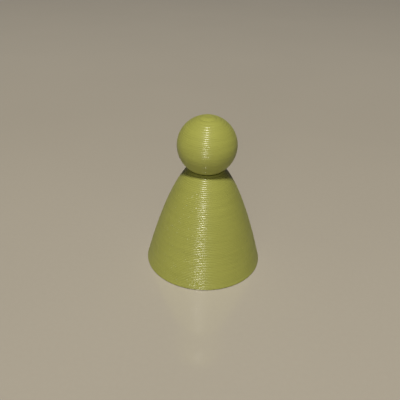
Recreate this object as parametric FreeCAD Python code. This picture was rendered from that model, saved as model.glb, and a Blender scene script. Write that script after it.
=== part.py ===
import FreeCAD, Part
import math
import os

from FreeCAD import Vector

# A game pawn, printed in one piece: a ball head on a body that narrows upwards as a paraboloid.
# It is built as the printer lays it down, from the base up: two loops of wall with sparse fill
# between solid skins. Each kind of line is its own node, and the nodes meet face to face.
# Millimetres, +Z up. The origin is the centre of the flat base that the pawn stands on.

# Driving dimensions of the pawn
BASE_RADIUS = 9.0
BODY_APEX = 17.6  # height where the body's paraboloid would close to a point, inside the head
HEAD_RADIUS = 4.4
OVERALL_HEIGHT = 24.0

# Driving dimensions of the print
LAYER = 0.25
LINE_WIDTH = 0.45
WALL_LOOPS = 2
SKIN_LAYERS = 4  # solid layers under the fill, and again over it
BODY_LAYERS = 64  # the last one lies just under the waist, where head and body meet
NECK_CORE_LAYERS = 4  # solid layers on each side of the waist
FILL_SPACING = 4.5
FILL_TURN = 45.0  # degrees

# Places that follow from them
HEAD_CENTRE = OVERALL_HEIGHT - HEAD_RADIUS
WAIST = BODY_LAYERS * LAYER
BASE_SKIN_TOP = SKIN_LAYERS * LAYER
CROWN_SKIN_BOTTOM = OVERALL_HEIGHT - SKIN_LAYERS * LAYER
NECK_CORE_BOTTOM = WAIST - NECK_CORE_LAYERS * LAYER
NECK_CORE_TOP = WAIST + NECK_CORE_LAYERS * LAYER

UP = Vector(0, 0, 1)
SAME_POINT = 1e-6


def turned(curve):
    """The solid under a curve that climbs beside the Z axis, turned once round it."""
    low = curve.StartPoint
    high = curve.EndPoint
    corners = [high, Vector(0, 0, high.z), Vector(0, 0, low.z), low]
    edges = [curve.toShape()]
    for start, end in zip(corners, corners[1:]):
        if start.distanceToPoint(end) > SAME_POINT:
            edges.append(Part.LineSegment(start, end).toShape())
    return Part.Face(Part.Wire(edges)).revolve(Vector(0, 0, 0), UP, 360)


def body_core(loops, low, high):
    """The body between two heights, inside this many loops of wall.

    A parabola is a Bezier curve of three poles. The middle one is where its end tangents cross.
    """
    inset = loops * LINE_WIDTH
    start = BASE_RADIUS * math.sqrt(1 - low / BODY_APEX)
    end = BASE_RADIUS * math.sqrt(1 - high / BODY_APEX)
    crossing = low + BODY_APEX * start * (start - end) / BASE_RADIUS**2
    outline = Part.BezierCurve()
    outline.setPoles([
        Vector(start - inset, 0, low),
        Vector((start + end) / 2 - inset, 0, crossing),
        Vector(end - inset, 0, high),
    ])
    return turned(outline)


def head_core(loops, low, high=math.inf):
    """The head inside this many loops of wall, from height low up to high or to its own top.

    Each loop is a line's width inside the last one, and closes over the crown a layer lower.
    """
    bottom = low - HEAD_CENTRE
    top = min(high - HEAD_CENTRE, HEAD_RADIUS - loops * LAYER)
    outline = []
    for level in (bottom, (bottom + top) / 2, top):
        radius = math.sqrt(HEAD_RADIUS**2 - level**2) - loops * LINE_WIDTH
        outline.append(Vector(radius, 0, HEAD_CENTRE + level))
    return turned(Part.Arc(*outline))


def fill_grid():
    """Upright sheets one line thick, crossing in a square grid through the axis."""
    reach = 2 * BASE_RADIUS
    sheets = []
    for step in (-1, 0, 1):
        sheet = Part.makeBox(reach, LINE_WIDTH, OVERALL_HEIGHT)
        sheet.translate(Vector(-reach / 2, step * FILL_SPACING - LINE_WIDTH / 2, 0))
        crossing_sheet = sheet.copy()
        crossing_sheet.rotate(Vector(0, 0, 0), UP, 90)
        sheets += [sheet, crossing_sheet]
    grid = sheets[0].fuse(sheets[1:]).removeSplitter()
    grid.rotate(Vector(0, 0, 0), UP, FILL_TURN)
    return grid


def body_wall(loops):
    """The loop of the body's wall that lies inside this many others."""
    return body_core(loops, 0, WAIST).cut(body_core(loops + 1, 0, WAIST))


def head_wall(loops):
    """The loop of the head's wall that lies inside this many others."""
    return head_core(loops, WAIST).cut(head_core(loops + 1, WAIST))


def base_skin():
    return body_core(WALL_LOOPS, 0, BASE_SKIN_TOP)


def body_fill():
    return body_core(WALL_LOOPS, BASE_SKIN_TOP, NECK_CORE_BOTTOM).common(fill_grid())


def neck_core():
    """The waist, too small inside for sparse fill, so its lines lie side by side."""
    below = body_core(WALL_LOOPS, NECK_CORE_BOTTOM, WAIST)
    above = head_core(WALL_LOOPS, WAIST, NECK_CORE_TOP)
    return below.fuse(above)


def head_fill():
    return head_core(WALL_LOOPS, NECK_CORE_TOP, CROWN_SKIN_BOTTOM).common(fill_grid())


def crown_skin():
    return head_core(WALL_LOOPS, CROWN_SKIN_BOTTOM)


def main():
    nodes = {
        "base_skin": base_skin(),
        "body_outer_wall": body_wall(0),
        "body_inner_wall": body_wall(1),
        "body_infill": body_fill(),
        "neck_core": neck_core(),
        "head_outer_wall": head_wall(0),
        "head_inner_wall": head_wall(1),
        "head_infill": head_fill(),
        "crown_skin": crown_skin(),
    }
    os.makedirs("parts", exist_ok=True)
    for name, shape in nodes.items():
        box = shape.BoundBox
        print(
            f"{name}: {len(shape.Solids)} solid, valid {shape.isValid()}, {shape.Volume:.2f} mm3,"
            f" z {box.ZMin:.3f} to {box.ZMax:.3f}, x {box.XMin:.3f} to {box.XMax:.3f}"
        )
        shape.exportStep(f"parts/{name}.step")


main()
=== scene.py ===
import math

import bpy
from mathutils import Matrix, Vector


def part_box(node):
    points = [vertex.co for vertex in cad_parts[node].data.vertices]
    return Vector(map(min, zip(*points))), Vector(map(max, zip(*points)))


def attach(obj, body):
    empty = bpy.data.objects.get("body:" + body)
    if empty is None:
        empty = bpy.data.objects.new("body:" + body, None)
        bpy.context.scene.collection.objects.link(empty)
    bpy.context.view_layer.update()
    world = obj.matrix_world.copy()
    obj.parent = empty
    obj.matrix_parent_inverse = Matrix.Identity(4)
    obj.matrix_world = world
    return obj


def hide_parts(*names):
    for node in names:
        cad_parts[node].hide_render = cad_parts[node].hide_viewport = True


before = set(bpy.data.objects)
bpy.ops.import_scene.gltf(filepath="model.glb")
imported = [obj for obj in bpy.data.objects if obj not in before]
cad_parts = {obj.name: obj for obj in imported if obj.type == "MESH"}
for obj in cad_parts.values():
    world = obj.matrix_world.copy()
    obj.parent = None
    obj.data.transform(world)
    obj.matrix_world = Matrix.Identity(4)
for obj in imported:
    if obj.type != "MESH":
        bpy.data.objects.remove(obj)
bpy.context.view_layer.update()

# A game pawn printed in olive-green plastic: a ball head on a skirt, one piece, standing on a
# pale table. Every printed layer is modelled: its rounded edge, its own small errors, and the
# scar where its loop starts and ends. Metres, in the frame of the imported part.

MM = 0.001

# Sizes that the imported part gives
BODY_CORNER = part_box("body_outer_wall")[1]
HEAD_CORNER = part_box("head_outer_wall")[1]
BASE_RADIUS = BODY_CORNER[0]
WAIST = BODY_CORNER[2]
HEIGHT = HEAD_CORNER[2]
HEAD_RADIUS = HEAD_CORNER[0]
HEAD_CENTRE = HEIGHT - HEAD_RADIUS

# How it is printed
LAYER = 0.25 * MM
LINE_WIDTH = 0.45 * MM
BODY_APEX = 17.6 * MM  # height where the body's paraboloid would close
BODY_LAYERS = round(WAIST / LAYER)
HEAD_LAYERS = round((HEIGHT - WAIST) / LAYER)
SCAR_EDGE = 0.996  # sine of the turn where the scar at the back begins
TOP_FOLLOWS = 0.5  # how far the last layer's side keeps to the slope
EDGE_ROWS = 6  # rows of points over one layer's rounded edge
INNER_ROWS = 12  # rows of points down the hidden inner side

# The glossy skin and its fine relief. Depths are in millimetres.
COAT_WEIGHT = 0.56
COAT_ROUGH = 0.23
BEAD_ROUND = 0.026  # how far the middle of a layer stands out
BEAD_LEAN = 0.045  # how far a layer leans back
LEAN_CHANGE = 0.034  # how much that lean changes along a layer and from layer to layer
WAVER = 0.012
FLECK = 0.007
GRAIN = 0.0006
FLAT_LEAN = 0.12  # steepest slope of the small flats low on the front
FLATS_REACH = 3.0  # mm to the left of the middle where that slope stops growing
FLATS_TOP = 0.7  # share of the height where the flats end

PLASTIC = (0.26, 0.27, 0.06)
TABLE = (0.385, 0.357, 0.306)
SURROUNDINGS = (0.36, 0.34, 0.3, 1.0)
LAMP_LIGHT = (1.0, 0.95, 0.86)


class Number:
    """A number worked out inside a node tree. Arithmetic on it adds Math nodes to the tree."""

    def __init__(self, tree, socket):
        self.tree = tree
        self.socket = socket

    def math(self, operation, *others):
        node = self.tree.nodes.new("ShaderNodeMath")
        node.operation = operation
        for place, value in enumerate((self, *others)):
            plug(self.tree, node.inputs[place], value)
        return Number(self.tree, node.outputs[0])

    def __add__(self, other):
        return self.math("ADD", other)

    __radd__ = __add__

    def __mul__(self, other):
        return self.math("MULTIPLY", other)

    __rmul__ = __mul__

    def __sub__(self, other):
        return self.math("SUBTRACT", other)

    def __rsub__(self, other):
        return (self * -1.0) + other

    def __truediv__(self, other):
        return self.math("DIVIDE", other)

    def floor(self):
        return self.math("FLOOR")

    def root(self):
        return self.math("MAXIMUM", 0.0).math("SQRT")

    def sin(self):
        return self.math("SINE")

    def cos(self):
        return self.math("COSINE")

    def size(self):
        return self.math("ABSOLUTE")

    def at_least(self, other):
        return self.math("MAXIMUM", other)

    def at_most(self, other):
        return self.math("MINIMUM", other)

    def over(self, other):
        """1 where this is greater than the other, else 0."""
        return self.math("GREATER_THAN", other)


def plug(tree, socket, value):
    """Gives a node's input a fixed value, or links it to a Number or a socket."""
    if isinstance(value, Number):
        value = value.socket
    if isinstance(value, bpy.types.NodeSocket):
        tree.links.new(value, socket)
    else:
        socket.default_value = value


def add(tree, kind, settings=None, **inputs):
    """Adds a node with these settings, and plugs its inputs by name: spaces are underscores."""
    node = tree.nodes.new(kind)
    for name, value in (settings or {}).items():
        setattr(node, name, value)
    for name, value in inputs.items():
        plug(tree, node.inputs[name.replace("_", " ")], value)
    return node


def choose(condition, when_true, when_false):
    """One number or the other, by a condition of 1 or 0."""
    tree = condition.tree
    node = add(tree, "GeometryNodeSwitch", {"input_type": "FLOAT"}, Switch=condition)
    plug(tree, node.inputs["False"], when_false)
    plug(tree, node.inputs["True"], when_true)
    return Number(tree, node.outputs[0])


SOCKETS = {int: "NodeSocketInt", float: "NodeSocketFloat", bpy.types.Material: "NodeSocketMaterial"}


def new_tree(name, sizes):
    """An empty Geometry Nodes tree and its named inputs."""
    tree = bpy.data.node_groups.new(name, "GeometryNodeTree")
    tree.interface.new_socket("Geometry", in_out="OUTPUT", socket_type="NodeSocketGeometry")
    for label, value in sizes.items():
        tree.interface.new_socket(label, in_out="INPUT", socket_type=SOCKETS[type(value)])
    inlet = tree.nodes.new("NodeGroupInput")
    inputs = {}
    for label, value in sizes.items():
        socket = inlet.outputs[label]
        inputs[label] = socket if isinstance(value, bpy.types.Material) else Number(tree, socket)
    return tree, inputs


def make_piece(name, tree, sizes):
    """Runs a tree with these sizes and keeps the result as a plain mesh."""
    piece = bpy.data.objects.new(name, bpy.data.meshes.new(name))
    bpy.context.scene.collection.objects.link(piece)
    modifier = piece.modifiers.new(name, "NODES")
    modifier.node_group = tree
    for item in tree.interface.items_tree:
        if item.in_out == "INPUT":
            modifier[item.identifier] = sizes[item.name]
    view_layer = bpy.context.evaluated_depsgraph_get()
    mesh = bpy.data.meshes.new_from_object(
        piece.evaluated_get(view_layer), preserve_all_data_layers=True, depsgraph=view_layer
    )
    piece.modifiers.clear()
    piece.data = mesh
    mesh.name = name
    return piece


def finish_tree(tree, geometry, material):
    """Every tree ends alike: real geometry, smooth shading and a material."""
    real = add(tree, "GeometryNodeRealizeInstances", Geometry=geometry)
    smooth = add(tree, "GeometryNodeSetShadeSmooth", Geometry=real.outputs[0])
    crest = add(tree, "GeometryNodeInputNamedAttribute", {"data_type": "FLOAT"}, Name="crest")
    in_crease = Number(tree, crest.outputs["Attribute"]).math("LESS_THAN", 0.01)
    creased = add(
        tree,
        "GeometryNodeSetShadeSmooth",
        {"domain": "EDGE"},
        Geometry=smooth.outputs[0],
        Selection=in_crease,
        Shade_Smooth=False,
    )
    painted = add(
        tree, "GeometryNodeSetMaterial", Geometry=creased.outputs[0], Material=material
    )
    outlet = tree.nodes.new("NodeGroupOutput")
    tree.links.new(painted.outputs[0], outlet.inputs[0])


def body_outline(height):
    """Radius of the skirt at a height: a paraboloid."""
    return (1.0 - height / BODY_APEX).root() * BASE_RADIUS


def head_outline(height):
    """Radius of the ball at a height."""
    level = height - HEAD_CENTRE
    return (HEAD_RADIUS**2 - level * level).root()


def ring_noise(tree, turn, layer, around, across, seed):
    """Smooth noise from -1 to 1 on a ring of layers, with no join where the ring closes."""
    place = add(
        tree,
        "ShaderNodeCombineXYZ",
        X=turn.cos() * around,
        Y=turn.sin() * around,
        Z=layer * across + seed,
    )
    noise = add(
        tree, "ShaderNodeTexNoise", {"noise_dimensions": "3D"}, Vector=place.outputs[0], Scale=1.0
    )
    noise.inputs["Detail"].default_value = 2.0
    return (Number(tree, noise.outputs[0]) - 0.5) * 2.0


def wall_tree(name, sizes, outline, closes):
    """A printed wall of one loop a layer, as a closed shell turned about the axis.

    Its rows of points run down the inner side, up the outer side with a rounded edge for each
    layer, and, where the wall closes over the crown, in to the axis over concentric lines.
    """
    tree, size = new_tree(name, sizes)
    outer_rows = size["Layers"] * EDGE_ROWS
    cap_rows = size["Cap Rows"]
    rows = outer_rows + INNER_ROWS + cap_rows
    grid = add(
        tree,
        "GeometryNodeMeshGrid",
        Size_X=1.0,
        Size_Y=1.0,
        Vertices_X=size["Segments"] + 1.0,
        Vertices_Y=rows,
    )
    place = add(tree, "ShaderNodeSeparateXYZ")
    tree.links.new(tree.nodes.new("GeometryNodeInputPosition").outputs[0], place.inputs[0])
    turn = (Number(tree, place.outputs["X"]) + 0.5) * math.tau
    row = ((Number(tree, place.outputs["Y"]) + 0.5) * (rows - 1.0) + 0.5).floor()

    low = size["Low"]
    high = low + size["Layers"] * LAYER

    # The inner side, from its top down to the bottom of the wall.
    inner_top = high - closes * LAYER
    down = row / (INNER_ROWS - 1.0)
    inner_height = inner_top + (low - inner_top) * down
    inner_radius = outline(inner_height) - LINE_WIDTH
    if closes:
        inner_radius = inner_radius * row.over(0.5)

    # The outer side, layer by layer. Part of the step between two layers rounds the edge that
    # it leaves open, and the rest goes into the slope of the layer's side.
    outer_row = row - float(INNER_ROWS)
    layer = (outer_row / float(EDGE_ROWS)).floor()
    sweep = ((outer_row - layer * EDGE_ROWS) / (EDGE_ROWS - 1.0) - 0.5) * math.pi
    is_upper = sweep.over(0.0)
    middle = low + (layer + 0.5) * LAYER
    step = outline(middle - LAYER / 2) - outline(middle + LAYER / 2)
    rounding = (step.size() * size["Round Share"]).at_most(size["Largest Round"])
    follows = 1.0 - size["Round Share"]
    if closes:
        is_top = layer.over(size["Layers"] - 1.5)
        rounding = choose(is_top, size["Largest Round"], rounding)
        follows = choose(is_top, TOP_FOLLOWS, follows)
    open_edge = choose(step.over(0.0), is_upper, 1.0 - is_upper)
    depth = size["Edge Depth"] + open_edge * rounding
    depth = depth + size["Foot Round"] * (1.0 - layer.over(0.5)) * (1.0 - is_upper)

    # Two layers share the errors of the edge where they meet.
    flat_height = middle + sweep.sin() * (LAYER / 2)
    level = flat_height / LAYER
    wander = ring_noise(tree, turn, level, 1.6, 0.9, size["Seed"]) * size["Wander"]
    ripple = ring_noise(tree, turn, level, 7.0, 2.3, size["Seed"] + 40.0) * size["Ripple"]
    sag = ring_noise(tree, turn, level, 2.2, 1.1, size["Seed"] + 80.0) * size["Sag"]

    slope_height = middle + sweep.sin() * (LAYER / 2) * follows
    outer_radius = outline(slope_height) + wander + ripple - (1.0 - sweep.cos()) * depth
    outer_height = flat_height + sag * row.over(INNER_ROWS + 1.5)

    # A small scar runs up the back, where each loop starts and ends.
    at_back = ((turn.sin() - SCAR_EDGE) / (1.0 - SCAR_EDGE)).at_least(0.0)
    scar = ring_noise(tree, turn, layer, 0.0, 1.7, size["Seed"] + 120.0) + 1.0
    outer_radius = outer_radius + at_back * scar * size["Scar"]

    # The cap: concentric lines on the crown, or back to the first row to close the shell.
    cap_row = row - (outer_rows + float(INNER_ROWS))
    if closes:
        top_radius = outline(high - LAYER / 2 * (1.0 - TOP_FOLLOWS)) - size["Largest Round"]
        cap_radius = (1.0 - (cap_row + 1.0) / cap_rows) * top_radius
        groove = 1.0 - (cap_radius / LINE_WIDTH * math.pi).cos().size()
        cap_height = high - groove * groove * size["Cap Groove"]
    else:
        cap_radius = outline(high) - LINE_WIDTH
        cap_height = high

    is_inner = 1.0 - row.over(INNER_ROWS - 0.5)
    is_cap = cap_row.over(-0.5)
    radius = choose(is_inner, inner_radius, choose(is_cap, cap_radius, outer_radius))
    height = choose(is_inner, inner_height, choose(is_cap, cap_height, outer_height))
    point = add(
        tree, "ShaderNodeCombineXYZ", X=radius * turn.cos(), Y=radius * turn.sin(), Z=height
    )
    crest = add(
        tree,
        "GeometryNodeStoreNamedAttribute",
        {"data_type": "FLOAT", "domain": "POINT"},
        Geometry=grid.outputs["Mesh"],
        Name="crest",
        Value=choose(is_inner, 1.0, choose(is_cap, 1.0, sweep.cos())),
    )
    moved = add(
        tree, "GeometryNodeSetPosition", Geometry=crest.outputs[0], Position=point.outputs[0]
    )
    closed = add(tree, "GeometryNodeMergeByDistance", Geometry=moved.outputs[0], Distance=1e-7)
    finish_tree(tree, closed.outputs[0], size["Material"])
    return tree


def shader_tree(name, **fixed):
    """A new material, its node tree, and its shader with these inputs fixed."""
    material = bpy.data.materials.new(name)
    material.use_nodes = True
    tree = material.node_tree
    shader = tree.nodes["Principled BSDF"]
    for label, value in fixed.items():
        shader.inputs[label.replace("_", " ")].default_value = value
    return material, tree, shader


def object_place(tree):
    """The three object coordinates of a point of the surface."""
    axes = add(tree, "ShaderNodeSeparateXYZ")
    tree.links.new(tree.nodes.new("ShaderNodeTexCoord").outputs["Object"], axes.inputs[0])
    return [Number(tree, axes.outputs[axis]) for axis in "XYZ"]


def noise(tree, x, y, z):
    """Smooth noise from about -1 to 1 at this place."""
    place = add(tree, "ShaderNodeCombineXYZ", X=x, Y=y, Z=z)
    texture = add(tree, "ShaderNodeTexNoise", Vector=place.outputs[0], Scale=1.0, Detail=2.0)
    return (Number(tree, texture.outputs[0]) - 0.5) * 2.0


def bump(tree, height):
    """A normal from a relief of this many millimetres."""
    return add(tree, "ShaderNodeBump", Strength=1.0, Distance=MM, Height=height).outputs[0]


def tint(tree, colour, *changes):
    """A colour made lighter or darker by the sum of these changes."""
    factor = 1.0 + sum(changes)
    mixed = add(tree, "ShaderNodeVectorMath", {"operation": "SCALE"}, Scale=factor)
    mixed.inputs[0].default_value = colour
    return mixed.outputs[0]


def layer_relief(tree, x, y, z):
    """Height of the coat in millimetres: a leaning bead for each layer, and its small errors."""
    layer = (z / LAYER).floor()
    across = (z / LAYER - layer) * 2.0 - 1.0
    lean = noise(tree, x / (0.9 * MM), y / (0.9 * MM), layer * 4.3) * LEAN_CHANGE + BEAD_LEAN
    bead = (across * BEAD_ROUND + lean) * across * -1.0
    waver = noise(tree, x / (1.3 * MM), y / (1.3 * MM), layer * 7.3) * WAVER
    fleck = noise(tree, x / (0.45 * MM), y / (0.45 * MM), layer * 5.1) * FLECK
    grain = noise(tree, x / (0.12 * MM), y / (0.12 * MM), z / (0.08 * MM)) * GRAIN
    return bead + waver + fleck + leaning_flats(tree, x, y, z, layer) + grain


def leaning_flats(tree, x, y, z, layer):
    """Small flats that lean to one side, low on the left of the front only."""
    patch = noise(tree, x / (0.5 * MM), y / (0.5 * MM), layer * 3.1)
    patch = ((patch - 0.1) * 8.0).at_least(0.0).at_most(1.0)
    lowness = (FLATS_TOP - z / HEIGHT).at_least(0.0)
    beside = (x / MM).at_least(-FLATS_REACH).at_most(0.0)
    in_front = (y / BASE_RADIUS * -1.2).at_least(0.0).at_most(1.0)
    return patch * lowness * beside * in_front * -FLAT_LEAN


def print_plastic():
    """Satin olive plastic, straight off the printer: a glossy skin over each rounded layer."""
    material, tree, shader = shader_tree(
        "printed_plastic",
        Roughness=0.5,
        Specular_IOR_Level=0.1,
        Coat_Weight=COAT_WEIGHT,
        Coat_Roughness=COAT_ROUGH,
    )
    x, y, z = object_place(tree)
    relief = layer_relief(tree, x, y, z)
    tree.links.new(bump(tree, relief), shader.inputs["Coat Normal"])

    by_layer = noise(tree, 0.0, 0.0, (z / LAYER).floor() * 3.7) * 0.04
    band = noise(tree, x / (5.0 * MM), y / (5.0 * MM), z / (0.45 * MM)) * 0.09
    blotch = noise(tree, x / (4.0 * MM), y / (4.0 * MM), z / (2.5 * MM)) * 0.04
    # The ball is painted a little paler than the skirt: painted light, standing in for the brighter
    # light that falls on the ball.
    ball_painted_lighter = z.over(WAIST) * 0.1
    colour = tint(tree, PLASTIC, by_layer, band, blotch, ball_painted_lighter)
    tree.links.new(colour, shader.inputs["Base Color"])
    return material


def table_top():
    """Pale glossy table top, very slightly uneven in tone and sheen."""
    material, tree, shader = shader_tree("pale_table", Specular_IOR_Level=1.0)
    x, y, z = object_place(tree)
    cloud = noise(tree, x / (40 * MM), y / (40 * MM), z) * 0.03
    speck = noise(tree, x / (0.7 * MM), y / (0.7 * MM), z) * 0.02
    colour = tint(tree, TABLE, cloud, speck)
    tree.links.new(colour, shader.inputs["Base Color"])
    sheen = noise(tree, x / (15 * MM), y / (15 * MM), z) * 0.02 + 0.13
    tree.links.new(sheen.socket, shader.inputs["Roughness"])
    return material


def body_layers(material):
    sizes = {
        "Layers": BODY_LAYERS,
        "Cap Rows": 1,
        "Segments": 240,
        "Low": 0.0,
        "Round Share": 0.25,
        "Largest Round": 0.08 * MM,
        "Edge Depth": 0.009 * MM,
        "Foot Round": 0.25 * MM,
        "Wander": 0.012 * MM,
        "Ripple": 0.002 * MM,
        "Sag": 0.008 * MM,
        "Scar": 0.035 * MM,
        "Cap Groove": 0.0,
        "Seed": 11.0,
        "Material": material,
    }
    piece = make_piece("body_layers", wall_tree("printed skirt", sizes, body_outline, 0), sizes)
    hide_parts("body_outer_wall")
    return piece


def head_layers(material):
    sizes = {
        "Layers": HEAD_LAYERS,
        "Cap Rows": 10,
        "Segments": 200,
        "Low": WAIST,
        "Round Share": 0.25,
        "Largest Round": 0.08 * MM,
        "Edge Depth": 0.009 * MM,
        "Foot Round": 0.0,
        "Wander": 0.012 * MM,
        "Ripple": 0.002 * MM,
        "Sag": 0.008 * MM,
        "Scar": 0.035 * MM,
        "Cap Groove": 0.02 * MM,
        "Seed": 23.0,
        "Material": material,
    }
    piece = make_piece("head_layers", wall_tree("printed ball", sizes, head_outline, 1), sizes)
    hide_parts("head_outer_wall")
    return piece


def floor():
    mesh = bpy.data.meshes.new("table")
    reach = 1.2
    mesh.from_pydata(
        [(-reach, -reach, 0), (reach, -reach, 0), (reach, reach, 0), (-reach, reach, 0)],
        [],
        [(0, 1, 2, 3)],
    )
    table = bpy.data.objects.new("table", mesh)
    bpy.context.scene.collection.objects.link(table)
    mesh.materials.append(table_top())


def aim(thing, away, tilt, azimuth, target):
    """Puts a lamp or camera this far from the target, tilt up and azimuth to its left."""
    tilt = math.radians(tilt)
    azimuth = math.radians(azimuth)
    back = Vector((
        -math.sin(azimuth) * math.cos(tilt),
        -math.cos(azimuth) * math.cos(tilt),
        math.sin(tilt),
    ))
    thing.location = Vector(target) + back * away
    thing.rotation_euler = back.to_track_quat("Z", "Y").to_euler()


def lamp(name, power, size, away, tilt, azimuth):
    light = bpy.data.lights.new(name, "AREA")
    light.shape = "DISK"
    light.size = size
    light.energy = power
    light.color = LAMP_LIGHT
    thing = bpy.data.objects.new(name, light)
    bpy.context.scene.collection.objects.link(thing)
    aim(thing, away, tilt, azimuth, (0, 0, HEIGHT / 2))
    return thing


def lights():
    """A lamp high in front, a broad one low in front, and pale surroundings.

    The surroundings are seen by the camera and, near the horizon, in reflections. They give
    almost no light.
    """
    lamp("key", power=27.0, size=0.19, away=1.5, tilt=66, azimuth=7)
    fill = lamp("fill", power=10.5, size=0.7, away=1.5, tilt=2, azimuth=8)
    fill.visible_glossy = False
    fill.visible_camera = False
    world = bpy.data.worlds.new("room")
    bpy.context.scene.world = world
    world.use_nodes = True
    tree = world.node_tree
    dim = tree.nodes["Background"]
    dim.inputs["Color"].default_value = (1.0, 0.95, 0.9, 1.0)
    dim.inputs["Strength"].default_value = 0.01
    seen = add(tree, "ShaderNodeBackground", Color=SURROUNDINGS, Strength=1.0)
    direction = add(tree, "ShaderNodeSeparateXYZ")
    tree.links.new(tree.nodes.new("ShaderNodeTexCoord").outputs["Generated"], direction.inputs[0])
    upward = Number(tree, direction.outputs["Z"])
    haze = ((0.4 - upward) * 3.0).at_least(0.0).at_most(0.4)
    ray = tree.nodes.new("ShaderNodeLightPath")
    share = haze * ray.outputs["Is Glossy Ray"] + ray.outputs["Is Camera Ray"]
    mix = add(tree, "ShaderNodeMixShader", Fac=share)
    tree.links.new(dim.outputs[0], mix.inputs[1])
    tree.links.new(seen.outputs[0], mix.inputs[2])
    tree.links.new(mix.outputs[0], tree.nodes["World Output"].inputs["Surface"])


def camera():
    data = bpy.data.cameras.new("camera")
    data.sensor_width = 36.0
    data.lens = 46.8
    data.clip_start = 0.001
    thing = bpy.data.objects.new("camera", data)
    bpy.context.scene.collection.objects.link(thing)
    tilt = math.radians(31.0)
    roll = math.radians(1.85)
    away = 79.8 * MM
    target = Vector((-0.78 * MM, 0.0, 0.43 * HEIGHT))
    back = Vector((0.0, -math.cos(tilt), math.sin(tilt)))
    turn = Matrix.Rotation(math.pi / 2 - tilt, 4, "X") @ Matrix.Rotation(roll, 4, "Z")
    thing.matrix_world = Matrix.Translation(target + back * away) @ turn
    bpy.context.scene.camera = thing


camera()
lights()
floor()
plastic = print_plastic()
for piece in (body_layers(plastic), head_layers(plastic)):
    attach(piece, "root")
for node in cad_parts.values():
    node.data.materials.clear()
    node.data.materials.append(plastic)
bpy.context.scene.view_settings.view_transform = "Standard"

bpy.context.view_layer.update()
